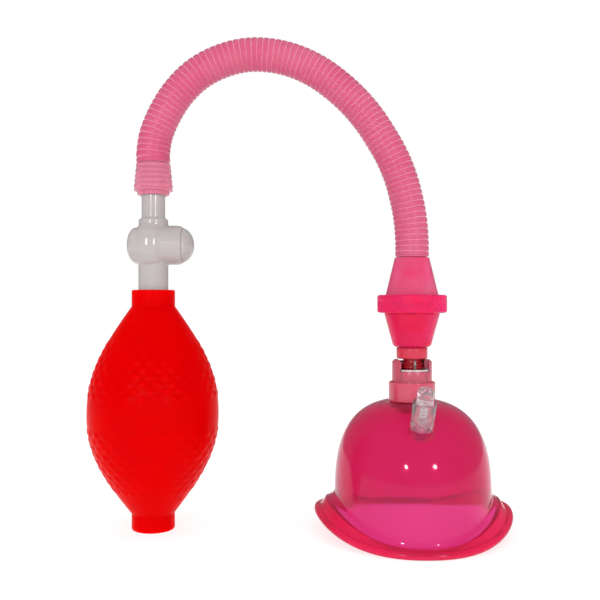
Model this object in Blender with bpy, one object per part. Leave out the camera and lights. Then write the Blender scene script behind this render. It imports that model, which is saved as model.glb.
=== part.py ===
"""Hand vacuum pump: squeeze bulb, release valve, ribbed hose, check coupling, release socket, suction cup.

Metres, +Z up. The pump stands on the bulb's tail and on the low front and back of the cup's rim.
The origin is on the floor below the middle of the pump. The bulb is at -X, the cup at +X, the front at -Y.
Every piece is one object. Pieces that touch on the real pump keep GAP between them.
"""

import math

import bmesh
import bpy
from mathutils import Matrix, Vector

# ---- driving dimensions, in metres ----
GAP = 0.0003
AXIS_SPAN = 0.1210  # between the bulb's axis and the cup's axis
FULL_TURN = 2 * math.pi

# squeeze bulb
BULB_BELLY_R = 0.0304
BULB_NECK_R = 0.0100
BULB_BORE_R = 0.0072
BULB_WALL = 0.0022
BULB_SHOULDER_LOW = 0.0077
BULB_WAIST = 0.0540
BULB_SHOULDER_HIGH = 0.1039
BULB_TOP = 0.1116
BULB_EDGE = 0.0010
BULB_FULLNESS = 1.1  # 1 is a plain cosine

# valve at the bulb's top
STUB_R = BULB_BORE_R - GAP
STUB_BOTTOM = 0.1045
VALVE_Z = 0.1325
BARREL_R = 0.0092
BARREL_LEFT = 0.0119
BARREL_MOUTH = 0.0144
VALVE_COLLAR_R = 0.0068
VALVE_COLLAR_TOP = 0.1448
SPIGOT_R = 0.00545
SPIGOT_TOP = 0.1696
AIRWAY_R = 0.0034
BOSS_R = 0.0072
BOSS_REACH = 0.0100
CHECK_POCKET_R = 0.0046
BUTTON_R = 0.0079
BUTTON_TIP = 0.0191
BUTTON_TRAVEL = 0.0022

# hose
HOSE_R = 0.00775
CUFF_BOTTOM = 0.1558
CUFF_FLARE_R = 0.0091
CUFF_TOP = 0.1707
HOSE_STEP = 0.008
HOSE_SIDES_RESOLUTION = 3

# check-valve coupling
CONE_TOP_Z = 0.1268
CONE_TOP_R = 0.0080
CONE_BASE_R = 0.01215
SKIRT_R = 0.0128
RING_R = 0.01615
RING_LOW = 0.1009
RING_HIGH = 0.1093
RING_ROUND = 0.0014
CONE_LOW_Z = 0.0850
CONE_LOW_R = 0.0089
BALL_R = 0.0024
BALL_HOLE_R = 0.0016
SEAT_TOP = 0.1040

# plug and socket
PLUG_COLLAR_R = 0.0072
PLUG_COLLAR_TOP = 0.0847
PLUG_COLLAR_LOW = 0.0796
PLUG_SHAFT_R = 0.0055
PLUG_TIP = 0.0695
SOCKET_R = 0.00925
SOCKET_TOP = 0.0791
SOCKET_LOW = 0.0679
SOCKET_BORE_R = 0.0059
NECK_R = 0.0108
NECK_TOP = 0.0688
NECK_FLOOR = 0.0676
NECK_TUBE_R = 0.0037
NECK_TUBE_LOW = 0.0539
LATCH_Z = 0.07435
LATCH_THICK = 0.0007
PIN_X = 0.0003

# suction cup
CUP_SIDE = 0.03615  # the dome's half-width
CUP_DEPTH = 0.0415  # the dome's half-depth
CUP_TOP = 0.0607
SEAT_R = 0.0111  # the flat seat under the neck collar
SEAT_Z = 0.0595
CUP_SHOULDER = 0.0170
CUP_WALL = 0.0020
CUP_BOXINESS = 2.8  # 2 is an ellipse
CUP_TAPER = 0.02
FLANGE_SIDE = 0.0457
FLANGE_DEPTH = 0.0500
LIP_R = 0.0017
LIP_RISE = 0.0080  # how far the lip rises at the cup's sides
DOME_RISE = 0.0132  # how far the dome's foot rises there
DOME_FOOT = 0.0033
NECK_HOLE_R = 0.0040
CUP_STEPS = 56

# release valve on the cup
RELEASE_X = 0.0
RELEASE_Y = -0.0315
RELEASE_TILT = math.radians(25)
RELEASE_LEAN = math.radians(2.5)
RELEASE_R = 0.00505
RELEASE_LENGTH = 0.0130
RELEASE_CAP_R = 0.0036
RELEASE_CAP_TOP = 0.0188

BULB_X = -(AXIS_SPAN + FLANGE_SIDE - BULB_BELLY_R) / 2
CUP_X = BULB_X + AXIS_SPAN

# The hose's way from the cuff to the coupling, as X and Z. It lies in the plane of both axes.
HOSE_ROUTE = [
    (BULB_X, CUFF_TOP + GAP),
    (-0.0682, 0.1760),
    (-0.0667, 0.1846),
    (-0.0623, 0.1948),
    (-0.0560, 0.2044),
    (-0.0475, 0.2126),
    (-0.0370, 0.2183),
    (-0.0253, 0.2214),
    (-0.0134, 0.2213),
    (-0.0020, 0.2186),
    (0.0085, 0.2137),
    (0.0175, 0.2073),
    (0.0256, 0.1999),
    (0.0325, 0.1918),
    (0.0382, 0.1832),
    (0.0434, 0.1741),
    (0.0475, 0.1642),
    (0.0504, 0.1535),
    (0.0521, 0.1440),
    (0.0528, 0.1347),
    (CUP_X, CONE_TOP_Z + GAP),
]


# ---- tools ----
def material(name, colour, roughness, metallic=0.0, alpha=1.0):
    made = bpy.data.materials.new(name)
    made.use_nodes = True
    shader = made.node_tree.nodes["Principled BSDF"]
    shader.inputs["Base Color"].default_value = (*colour, 1)
    shader.inputs["Roughness"].default_value = roughness
    shader.inputs["Metallic"].default_value = metallic
    shader.inputs["Alpha"].default_value = alpha
    return made


def add_object(name, data, look, at=(0, 0, 0), along=(0, 0, 1), parent=None):
    """An object whose own +Z points along the given direction."""
    made = bpy.data.objects.new(name, data)
    made.location = at
    made.rotation_euler = Vector((0, 0, 1)).rotation_difference(Vector(along)).to_euler()
    if look:
        data.materials.append(look)
    bpy.context.scene.collection.objects.link(made)
    if parent:
        made.parent = parent
    return made


def mesh_from(bm, name):
    bmesh.ops.recalc_face_normals(bm, faces=bm.faces)
    mesh = bpy.data.meshes.new(name)
    bm.to_mesh(mesh)
    bm.free()
    mesh.shade_smooth()
    mesh.set_sharp_from_angle(angle=math.radians(35))
    return mesh


def lathe(name, outline, look, at=(0, 0, 0), along=(0, 0, 1), steps=32):
    """Turns an outline of (radius, height) points: a closed loop, unless both its ends are on the axis."""
    bm = bmesh.new()
    verts = [bm.verts.new((r, 0, h)) for r, h in outline]
    edges = [bm.edges.new(pair) for pair in zip(verts, verts[1:])]
    if outline[0][0] > 0 or outline[-1][0] > 0:
        edges.append(bm.edges.new((verts[-1], verts[0])))
    bmesh.ops.spin(
        bm, geom=verts + edges, cent=(0, 0, 0), axis=(0, 0, 1), angle=FULL_TURN, steps=steps, use_merge=True
    )
    bmesh.ops.remove_doubles(bm, verts=bm.verts, dist=1e-6)
    return add_object(name, mesh_from(bm, name), look, at, along)


def block(name, low, high, look=None):
    bm = bmesh.new()
    size = Vector(high) - Vector(low)
    middle = (Vector(high) + Vector(low)) / 2
    bmesh.ops.create_cube(bm, size=1, matrix=Matrix.Translation(middle) @ Matrix.Diagonal((*size, 1)))
    return add_object(name, mesh_from(bm, name), look)


def arc(middle, radius, start, end, steps):
    """Points on an arc, from one angle to another in degrees."""
    turns = [math.radians(start + (end - start) * i / steps) for i in range(steps + 1)]
    return [(middle[0] + radius * math.cos(a), middle[1] + radius * math.sin(a)) for a in turns]


def torus(name, major, minor, look, at, along=(0, 0, 1), steps=24, sides=8):
    ring = arc((major, 0), minor, 0, 360, sides)[:-1]
    return lathe(name, ring, look, at, along, steps)


def wire(name, points, radius, look, at=(0, 0, 0), along=(0, 0, 1), resolution=1):
    """A round bar along a line of points."""
    curve = bpy.data.curves.new(name, "CURVE")
    curve.dimensions = "3D"
    curve.bevel_depth = radius
    curve.bevel_resolution = resolution
    curve.use_fill_caps = True
    line = curve.splines.new("POLY")
    line.points.add(len(points) - 1)
    for point, place in zip(line.points, points):
        point.co = (*place, 1)
    return add_object(name, curve, look, at, along)


def coil(name, radius, thickness, length, turns, look, at, along=(0, 0, 1), steps=10):
    """A round spring that starts at its own origin."""
    count = int(turns * steps)
    points = []
    for i in range(count + 1):
        a = FULL_TURN * i / steps
        points.append((radius * math.cos(a), radius * math.sin(a), length * i / count))
    return wire(name, points, thickness / 2, look, at, along)


def shape(target, tool, operation):
    """Cuts, joins or intersects a piece with a tool, which is left out of the model."""
    tool.hide_render = True
    tool.display_type = "WIRE"
    change = target.modifiers.new(tool.name, "BOOLEAN")
    change.operation = operation
    change.solver = "EXACT"
    change.object = tool


def smooth_route(route, step):
    """Points about a step apart on a smooth curve through the route."""
    ends = [2 * Vector(route[0]) - Vector(route[1]), 2 * Vector(route[-1]) - Vector(route[-2])]
    knots = [ends[0], *[Vector(p) for p in route], ends[1]]
    line = []
    for a, b, c, d in zip(knots, knots[1:], knots[2:], knots[3:]):
        parts = max(1, round((c - b).length / step))
        for i in range(parts):
            t = i / parts
            bend = (2 * a - 5 * b + 4 * c - d) * t**2 + (3 * b - 3 * c + d - a) * t**3
            line.append(0.5 * (2 * b + (c - a) * t + bend))
    return line + [knots[-2]]


# ---- squeeze bulb and its tail valve ----
def bulb_radius(z, neck, belly):
    reach = BULB_WAIST - BULB_SHOULDER_LOW if z < BULB_WAIST else BULB_SHOULDER_HIGH - BULB_WAIST
    along = min(1, abs(z - BULB_WAIST) / reach)
    return neck + (belly - neck) * math.cos(math.pi / 2 * along**BULB_FULLNESS)


def bulb_side(neck, belly, steps):
    rise = (BULB_SHOULDER_HIGH - BULB_SHOULDER_LOW) / steps
    heights = [BULB_SHOULDER_LOW + rise * i for i in range(steps + 1)]
    return [(bulb_radius(z, neck, belly), z) for z in heights]


def make_bulb(looks):
    outer = [(BULB_NECK_R - BULB_EDGE, 0), (BULB_NECK_R, BULB_EDGE)]
    outer += bulb_side(BULB_NECK_R, BULB_BELLY_R, 18)
    outer += [(BULB_NECK_R, BULB_TOP - BULB_EDGE), (BULB_NECK_R - BULB_EDGE, BULB_TOP)]
    inner = [(BULB_BORE_R, 0), *bulb_side(BULB_BORE_R, BULB_BELLY_R - BULB_WALL, 12), (BULB_BORE_R, BULB_TOP)]
    lathe("squeeze_bulb", outer + inner[::-1], looks["bulb"], (BULB_X, 0, 0), steps=36)


def make_tail_valve(looks):
    outlet, ledge, seat, top = 0.0021, 0.0024, 0.0060, 0.0088
    at = (BULB_X, 0, 0)
    body = [(STUB_R, 0.0027), (STUB_R, top), (0.0018, top), (0.0018, seat), (0.0046, seat), (0.0046, 0.0027)]
    lathe("tail_valve_body", body, looks["valve"], at, steps=24)
    retainer = [(outlet, 0.0008), (STUB_R, 0.0008), (STUB_R, ledge), (outlet, ledge)]
    lathe("tail_valve_retainer", retainer, looks["valve"], at, steps=24)
    disc = [(0, ledge + GAP), (0.0041, ledge + GAP), (0.0041, ledge + 0.0012), (0, ledge + 0.0012)]
    lathe("tail_valve_disc", disc, looks["rubber"], at, steps=24)


# ---- release valve at the bulb's top ----
def barrel_outline():
    """The barrel as (radius, distance to the right of the stem), with a round left end and a rolled mouth."""
    middle, length, squareness = -0.0028, BARREL_LEFT - 0.0028, 2.4
    points = []
    for i in range(9):
        a = math.pi / 2 * i / 8
        radius = BARREL_R * math.sin(a) ** (2 / squareness)
        points.append((radius, middle - length * math.cos(a) ** (2 / squareness)))
    points += arc((BARREL_R - 0.0026, BARREL_MOUTH - 0.0026), 0.0026, 0, 70, 3)
    points.append((0, points[-1][1]))
    return points


def make_valve_body(looks):
    middle = (BULB_X, 0, VALVE_Z)
    stem = [
        (0, STUB_BOTTOM),
        (STUB_R - 0.0005, STUB_BOTTOM),
        (STUB_R, STUB_BOTTOM + 0.0005),
        (STUB_R, VALVE_Z),
        (VALVE_COLLAR_R, VALVE_Z),
        (VALVE_COLLAR_R, VALVE_COLLAR_TOP),
        (SPIGOT_R, VALVE_COLLAR_TOP),
        (SPIGOT_R, SPIGOT_TOP - 0.0006),
        (SPIGOT_R - 0.0006, SPIGOT_TOP),
        (0, SPIGOT_TOP),
    ]
    body = lathe("valve_body", stem, looks["valve"], (BULB_X, 0, 0), steps=32)
    barrel = lathe("barrel_shape", barrel_outline(), None, middle, (1, 0, 0))
    shape(body, barrel, "UNION")
    face = [(0, 0), (BOSS_R, 0), (BOSS_R, BOSS_REACH - 0.0012)]
    face += [(BOSS_R - 0.0012, BOSS_REACH), (0, BOSS_REACH + 0.0004)]
    boss = lathe("boss_shape", face, None, middle, (0, -1, 0))
    shape(body, boss, "UNION")

    airway = [
        (0, STUB_BOTTOM - 0.001),
        (CHECK_POCKET_R, STUB_BOTTOM - 0.001),
        (CHECK_POCKET_R, 0.1102),
        (0.0022, 0.1102),
        (0.0022, 0.1120),
        (AIRWAY_R, 0.1120),
        (AIRWAY_R, SPIGOT_TOP + 0.001),
        (0, SPIGOT_TOP + 0.001),
    ]
    shape(body, lathe("airway_cutter", airway, None, (BULB_X, 0, 0), steps=24), "DIFFERENCE")
    chamber = [
        (0, 0),
        (0.0030, 0),
        (0.0030, 0.0035),
        (0.0018, 0.0035),
        (0.0018, 0.0050),
        (0.0060, 0.0050),
        (0.0060, 0.0090),
        (BUTTON_R + GAP, 0.0090),
        (BUTTON_R + GAP, BARREL_MOUTH + 0.002),
        (0, BARREL_MOUTH + 0.002),
    ]
    shape(body, lathe("chamber_cutter", chamber, None, middle, (1, 0, 0), steps=28), "DIFFERENCE")


def make_release_button(looks):
    middle, right = (BULB_X, 0, VALVE_Z), (1, 0, 0)
    skirt, rim = BUTTON_R, 0.0148
    dome = arc((0, 0), 1, 90, 0, 7)
    shell = [(x * skirt, rim + y * (BUTTON_TIP - rim)) for x, y in dome]
    under = [(skirt, 0.0115), (0.0052, 0.0115), (0.0052, 0.0150), (0.0016, 0.0150), (0.0016, 0.0165)]
    under += [(0, 0.0165)]
    lathe("release_button", shell + under, looks["valve"], middle, right, steps=28)
    stem = [
        (0, 0.0008),
        (0.0026, 0.0008),
        (0.0026, 0.0021),
        (0.0012, 0.0021),
        (0.0012, 0.0160),
        (0, 0.0160),
    ]
    lathe("button_stem", stem, looks["valve"], middle, right, steps=16)
    torus("button_o_ring", 0.0020, 0.0004, looks["rubber"], (BULB_X + 0.0028, 0, VALVE_Z), right, 16, 6)
    spring_seat = (BULB_X + 0.0058, 0, VALVE_Z)
    coil("button_spring", 0.0036, 0.0007, 0.0085, 4, looks["steel"], spring_seat, right, steps=12)


def make_inlet_check(looks):
    at, low = (BULB_X, 0, 0), STUB_BOTTOM + GAP
    ring_r, ring_top = CHECK_POCKET_R - GAP, low + 0.0012
    ring = [(0.0020, low), (ring_r, low), (ring_r, ring_top), (0.0020, ring_top)]
    lathe("inlet_check_retainer", ring, looks["valve"], at, steps=24)
    rest = low + 0.0012 + GAP
    disc = [(0, rest), (0.0038, rest), (0.0038, rest + 0.0008), (0, rest + 0.0008)]
    lathe("inlet_check_disc", disc, looks["rubber"], at, steps=24)


# ---- hose ----
def make_hose(looks):
    cuff = [
        (SPIGOT_R + GAP, CUFF_BOTTOM),
        (0.0074, CUFF_BOTTOM),
        (0.0074, CUFF_BOTTOM + 0.0018),
        (CUFF_FLARE_R, CUFF_BOTTOM + 0.0021),
        (HOSE_R + 0.0002, CUFF_TOP),
        (SPIGOT_R + GAP, CUFF_TOP),
    ]
    lathe("hose_cuff", cuff, looks["hose"], (BULB_X, 0, 0), steps=28)
    line = [(p.x, 0, p.y) for p in smooth_route(HOSE_ROUTE, HOSE_STEP)]
    wire("hose", line, HOSE_R, looks["hose"], resolution=HOSE_SIDES_RESOLUTION)


# ---- check-valve coupling ----
def make_coupling(looks):
    at = (CUP_X, 0, 0)
    upper = [
        (0.0045, CONE_TOP_Z),
        (CONE_TOP_R - 0.0005, CONE_TOP_Z),
        (CONE_TOP_R, CONE_TOP_Z - 0.0005),
        (CONE_BASE_R, RING_HIGH + GAP),
        (SKIRT_R, RING_HIGH - 0.0004),
        (SKIRT_R, 0.1059),
        (0.0100, 0.1059),
        (0.0100, 0.1100),
        (0.0045, 0.1185),
    ]
    lathe("coupling_upper_cone", upper, looks["coupling"], at, steps=36)
    lower = [
        (SKIRT_R, 0.1041),
        (SKIRT_R, 0.1000),
        (CONE_LOW_R, CONE_LOW_Z + 0.0009),
        (CONE_LOW_R - 0.0011, CONE_LOW_Z),
        (0.0053, CONE_LOW_Z),
        (0.0053, 0.0933),
        (0.0088, 0.1015),
        (0.0088, 0.1029),
        (0.0095, 0.1029),
        (0.0095, 0.1041),
    ]
    lathe("coupling_lower_cone", lower, looks["coupling"], at, steps=36)
    bore = SKIRT_R + GAP
    ring = [(bore, RING_HIGH), *arc((RING_R - RING_ROUND, RING_HIGH - RING_ROUND), RING_ROUND, 90, 0, 3)]
    ring += [*arc((RING_R - RING_ROUND, RING_LOW + RING_ROUND), RING_ROUND, 0, -90, 3), (bore, RING_LOW)]
    lathe("coupling_ring", ring, looks["coupling"], at, steps=40)
    gasket = [(0.0098, 0.1044), (0.0125, 0.1044), (0.0125, 0.1056), (0.0098, 0.1056)]
    lathe("coupling_gasket", gasket, looks["rubber"], at, steps=28)
    seat = [(BALL_HOLE_R, 0.1032), (0.0092, 0.1032), (0.0092, SEAT_TOP), (BALL_HOLE_R, SEAT_TOP)]
    lathe("check_seat", seat, looks["valve"], at, steps=28)
    height = SEAT_TOP + math.sqrt(BALL_R**2 - BALL_HOLE_R**2) + GAP
    ball = [(0, -BALL_R), *arc((0, 0), BALL_R, -90, 90, 8)[1:-1], (0, BALL_R)]
    lathe("check_ball", ball, looks["rubber"], (CUP_X, 0, height), steps=16)


# ---- quick-release plug and socket ----
def make_plug(looks):
    groove, bore = 0.0047, 0.0022
    outline = [
        (bore, 0.0930),
        (0.0050, 0.0930),
        (0.0050, PLUG_COLLAR_TOP),
        (PLUG_COLLAR_R - 0.0003, PLUG_COLLAR_TOP),
        (PLUG_COLLAR_R, PLUG_COLLAR_TOP - 0.0003),
        (PLUG_COLLAR_R, PLUG_COLLAR_LOW + 0.0005),
        (PLUG_COLLAR_R - 0.0005, PLUG_COLLAR_LOW),
        (PLUG_SHAFT_R, PLUG_COLLAR_LOW),
    ]
    for low, high in [(0.0778, 0.0785), (0.0761, 0.0768), (0.0735, 0.0752)]:
        outline += [(PLUG_SHAFT_R, high), (groove, high), (groove, low), (PLUG_SHAFT_R, low)]
    outline += [(PLUG_SHAFT_R, 0.0718), (0.00435, 0.0718), (0.00435, 0.0702), (PLUG_SHAFT_R - 0.0002, 0.0702)]
    outline += [(PLUG_SHAFT_R - 0.0005, PLUG_TIP), (0.0012, PLUG_TIP), (0.0012, 0.0712), (bore, 0.0722)]
    lathe("plug_body", outline, looks["plug"], (CUP_X, 0, 0), steps=28)
    torus("plug_o_ring", 0.0051, 0.00042, looks["rubber"], (CUP_X, 0, 0.0710), steps=28, sides=8)


def make_socket(looks):
    at = (CUP_X, 0, 0)
    outline = [
        (SOCKET_BORE_R, SOCKET_TOP),
        (SOCKET_R - 0.0010, SOCKET_TOP),
        (SOCKET_R, SOCKET_TOP - 0.0010),
        (SOCKET_R, SOCKET_LOW),
        (0.0063, SOCKET_LOW),
        (0.0063, 0.0636),
        (0.0046, 0.0636),
        (0.0046, 0.0672),
        (0.0030, 0.0672),
        (0.0030, 0.0682),
        (SOCKET_BORE_R, 0.0682),
    ]
    socket = lathe("socket_body", outline, looks["plug"], at, steps=40)
    left, right, front, back = CUP_X - 0.0063, CUP_X + 0.0073, -0.0110, 0.0083
    slot_low, slot_high = LATCH_Z - LATCH_THICK / 2 - GAP, LATCH_Z + LATCH_THICK / 2 + GAP
    for name, low, high in [
        ("slot_cutter", (left, front, slot_low), (right, back, slot_high)),
        ("window_cutter", (left + 0.0004, front, slot_high - 0.0002), (right - 0.0004, -0.0020, 0.0820)),
        ("side_gap_cutter", (left - 0.0001, front, 0.0774), (CUP_X - 0.0030, 0.0110, 0.0820)),
        ("pad_cutter", (left, front, 0.0693), (right, -0.0065, slot_low + 0.0002)),
    ]:
        shape(socket, block(name, low, high), "DIFFERENCE")

    outline = [
        (NECK_TUBE_R, NECK_TUBE_LOW),
        (NECK_TUBE_R, SEAT_Z + GAP),
        (NECK_R, SEAT_Z + GAP),
        (NECK_R, NECK_TOP - 0.0007),
        (NECK_R - 0.0007, NECK_TOP),
        (SOCKET_R + GAP, NECK_TOP),
        (SOCKET_R + GAP, NECK_FLOOR),
        (0.0066, NECK_FLOOR),
        (0.0066, 0.0633),
        (0.0022, 0.0633),
        (0.0022, NECK_TUBE_LOW),
    ]
    lathe("neck_collar", outline, looks["plug"], at, steps=40)
    nut_top = SEAT_Z - CUP_WALL - GAP
    nut = [(0.0047, nut_top), (0.0078, nut_top), (0.0078, nut_top - 0.0026), (0.0047, nut_top - 0.0026)]
    lathe("neck_nut", nut, looks["plug"], at, steps=6)


def make_latch(looks):
    hole_r, hole_y, rear = 0.00615, -0.0003, 0.0071
    low, high = LATCH_Z - LATCH_THICK / 2, LATCH_Z + LATCH_THICK / 2
    disc = [(0, low), (0.0089, low), (0.0089, high), (0, high)]
    plate = lathe("latch_plate", disc, looks["steel"], (CUP_X, 0, 0))
    edges = block("plate_trim", (CUP_X - 0.0059, -0.0095, low - 0.001), (CUP_X + 0.0069, rear, high + 0.001))
    shape(plate, edges, "INTERSECT")
    hole = [(0, low - 0.001), (hole_r, low - 0.001), (hole_r, high + 0.001), (0, high + 0.001)]
    shape(plate, lathe("plate_hole", hole, None, (CUP_X, hole_y, 0)), "DIFFERENCE")

    pad_low, pad_high = 0.0696, low - GAP
    round_pad = [(0, pad_low), (0.0092, pad_low), (0.0092, pad_high), (0, pad_high)]
    pad = lathe("latch_button", round_pad, looks["plug"], (CUP_X, 0, 0), steps=40)
    pad_front = (CUP_X - 0.0059, -0.0110, pad_low - 0.001)
    front = block("pad_trim", pad_front, (CUP_X + 0.0069, -0.0077, pad_high + 0.001))
    shape(pad, front, "INTERSECT")

    bow = []
    for i in range(9):
        across = -1 + i / 4
        bow.append((CUP_X + 0.0005 + 0.0042 * across, -0.0073 + 0.0005 * across**2, 0.0711))
    wire("latch_spring", bow, 0.00015, looks["steel"])

    pin_at, foot = (CUP_X + PIN_X, -0.0077, 0), high + GAP
    pin = [(0, foot), (0.0004, foot), (0.0004, 0.0771), (0.0008, 0.0771), (0.0008, 0.0786)]
    pin += [(0.0005, 0.0790), (0, 0.0790)]
    lathe("lock_pin", pin, looks["steel"], pin_at, steps=12)
    spring_at = (pin_at[0], pin_at[1], foot + 0.0001)
    coil("lock_spring", 0.00085, 0.0002, 0.0017, 3, looks["steel"], spring_at, steps=8)


def make_shutoff(looks):
    at = (CUP_X, 0, 0)
    poppet = [(0, 0.0650), (0.0042, 0.0650), (0.0042, 0.0656), (0.0014, 0.0656), (0.0014, 0.0692)]
    poppet += [(0, 0.0692)]
    lathe("shutoff_poppet", poppet, looks["valve"], at, steps=20)
    coil("shutoff_spring", 0.0032, 0.0003, 0.0009, 2, looks["steel"], (CUP_X, 0, 0.0638), steps=12)


# ---- suction cup ----
def dome_share(height):
    """The dome's width, as a share of its width at the shoulder. Height is 0 there and 1 at the top."""
    return (1 - height**CUP_BOXINESS) ** (1 / CUP_BOXINESS) * (1 - CUP_TAPER * height)


def dome_points(inset, steps, top_r):
    """The dome from its top to its shoulder, as (half-width, half-depth, height)."""
    points = [(top_r, top_r, SEAT_Z - inset), (SEAT_R, SEAT_R, SEAT_Z - inset)]
    for i in range(1, steps + 1):
        height = math.cos(math.pi / 2 * i / steps) ** (2 / CUP_BOXINESS)
        share = dome_share(height)
        z = CUP_SHOULDER + (CUP_TOP - inset - CUP_SHOULDER) * height
        if CUP_SIDE * share > SEAT_R + 0.002:
            points.append(((CUP_SIDE - inset) * share, (CUP_DEPTH - inset) * share, z))
    return points


def cup_section(sideways):
    """The cup's wall at one angle: a loop of (half-width, half-depth, height).

    Sideways is 1 at the cup's sides and 0 at its front and back.
    """
    foot = DOME_FOOT + DOME_RISE * sideways**1.15
    lip = LIP_R + LIP_RISE * sideways**1.7
    reach_side, reach_depth = FLANGE_SIDE - LIP_R - CUP_SIDE, FLANGE_DEPTH - LIP_R - CUP_DEPTH

    def flange(share, drop):
        z = foot + (lip + 0.0006 - foot) * share**1.5 - drop
        return (CUP_SIDE + reach_side * share, CUP_DEPTH + reach_depth * share, z)

    def bead(degrees):
        a = math.radians(degrees)
        out, up = LIP_R * math.cos(a), LIP_R * math.sin(a)
        return (FLANGE_SIDE - LIP_R + out, FLANGE_DEPTH - LIP_R + out, lip + up)

    inner_foot = foot - CUP_WALL
    outer_dome, inner_dome = dome_points(0, 9, NECK_HOLE_R), dome_points(CUP_WALL, 7, NECK_HOLE_R)
    outside = [*outer_dome, (CUP_SIDE + 0.0002, CUP_DEPTH + 0.0002, foot + 0.0012)]
    outside += [flange(0.1, 0), flange(0.45, 0), flange(0.75, 0)]
    outside += [bead(a) for a in (100, 55, 10, -35, -90)]
    inside = [flange(0.75, CUP_WALL - 0.0004), flange(0.4, CUP_WALL), flange(0.06, CUP_WALL)]
    inside += [(CUP_SIDE - CUP_WALL, CUP_DEPTH - CUP_WALL, inner_foot + 0.0014), *inner_dome[::-1]]
    return outside + inside


def make_cup(looks):
    bm = bmesh.new()
    loops = []
    for i in range(CUP_STEPS):
        a = FULL_TURN * i / CUP_STEPS
        section = cup_section(math.cos(a) ** 2)
        loops.append([bm.verts.new((x * math.cos(a), y * math.sin(a), z)) for x, y, z in section])
    for here, there in zip(loops, loops[1:] + loops[:1]):
        for i in range(len(here)):
            bm.faces.new((here[i - 1], here[i], there[i], there[i - 1]))
    cup = add_object("cup", mesh_from(bm, "cup"), looks["cup"], (CUP_X, 0, 0))

    boss = [(0.0054, -0.0070), (0.0065, -0.0070), (0.0065, 0.0010), (0.0062, 0.0014), (0.0057, 0.0014)]
    boss += [(0.0054, 0.0010)]
    ring = lathe("boss_ring", boss, None, *release_axis(), steps=32)
    shape(ring, dome_solid("boss_trim", -CUP_WALL / 2), "DIFFERENCE")
    shape(cup, ring, "UNION")
    hole = [(0, -0.0100), (0.0029, -0.0100), (0.0029, 0.0060), (0, 0.0060)]
    shape(cup, lathe("release_hole", hole, None, *release_axis(), steps=20), "DIFFERENCE")


def dome_solid(name, grow):
    """The dome's filled shape, grown on every side."""
    bm = bmesh.new()
    rings = []
    for x, y, z in dome_points(-grow, 10, 0.001):
        turns = [FULL_TURN * i / CUP_STEPS for i in range(CUP_STEPS)]
        rings.append([bm.verts.new((x * math.cos(a), y * math.sin(a), z)) for a in turns])
    for upper, lower in zip(rings, rings[1:]):
        for i in range(CUP_STEPS):
            bm.faces.new((upper[i - 1], upper[i], lower[i], lower[i - 1]))
    bm.faces.new(rings[0])
    bm.faces.new(rings[-1])
    return add_object(name, mesh_from(bm, name), None, (CUP_X, 0, 0))


# ---- release valve on the cup ----
def release_axis():
    """Where the valve's axis leaves the dome, and its direction."""
    share = -RELEASE_Y / CUP_DEPTH
    height = (1 - share**CUP_BOXINESS) ** (1 / CUP_BOXINESS)
    z = CUP_SHOULDER + (CUP_TOP - CUP_SHOULDER) * height
    upright = math.cos(RELEASE_LEAN)
    along = (math.sin(RELEASE_LEAN), -math.sin(RELEASE_TILT) * upright, math.cos(RELEASE_TILT) * upright)
    return (CUP_X + RELEASE_X, RELEASE_Y, z), along


def along_release(distance):
    at, along = release_axis()
    return Vector(at) + distance * Vector(along)


def make_release_valve(looks):
    at, along = release_axis()
    bore_r, floor = RELEASE_CAP_R + 0.00035, 0.0032
    length = RELEASE_LENGTH
    solid = [(0, -0.0070), (RELEASE_R, -0.0070), (RELEASE_R, length - 0.0008)]
    solid += [(RELEASE_R - 0.0008, length), (0, length)]
    barrel = lathe("cup_valve_barrel", solid, looks["clear"], at, along, steps=32)
    shape(barrel, dome_solid("barrel_trim", GAP), "DIFFERENCE")
    spigot = [(0, -0.0048), (0.0026, -0.0048), (0.0026, 0.0020), (0, 0.0020)]
    shape(barrel, lathe("spigot_shape", spigot, None, at, along, steps=20), "UNION")
    bore = [(0, -0.0060), (0.0015, -0.0060), (0.0015, floor), (bore_r, floor), (bore_r, 0.0150), (0, 0.0150)]
    shape(barrel, lathe("bore_cutter", bore, None, at, along, steps=28), "DIFFERENCE")

    cap_r, cap_top = RELEASE_CAP_R, RELEASE_CAP_TOP
    stem = [(0, 0.0030), (0.0011, 0.0030), (0.0011, 0.0126), (cap_r, 0.0126), (cap_r, cap_top - 0.0009)]
    stem += [(cap_r - 0.0009, cap_top), (0, cap_top)]
    plunger = lathe("cup_valve_plunger", stem, looks["clear"], at, along, steps=28)
    for name, half in [("slot_a_cutter", (0.0005, 0.0050)), ("slot_b_cutter", (0.0050, 0.0005))]:
        slot = block(name, (-half[0], -half[1], cap_top - 0.0011), (half[0], half[1], cap_top + 0.001))
        slot.location = at
        slot.rotation_euler = Vector((0, 0, 1)).rotation_difference(Vector(along)).to_euler()
        shape(plunger, slot, "DIFFERENCE")

    spring_seat = along_release(0.0049)
    seal_seat = along_release(floor + GAP + 0.0005)
    coil("cup_valve_spring", 0.0025, 0.0006, 0.0070, 5, looks["steel"], spring_seat, along, steps=12)
    torus("cup_valve_seal", 0.0020, 0.0005, looks["rubber"], seal_seat, along, 20, 8)


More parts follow.
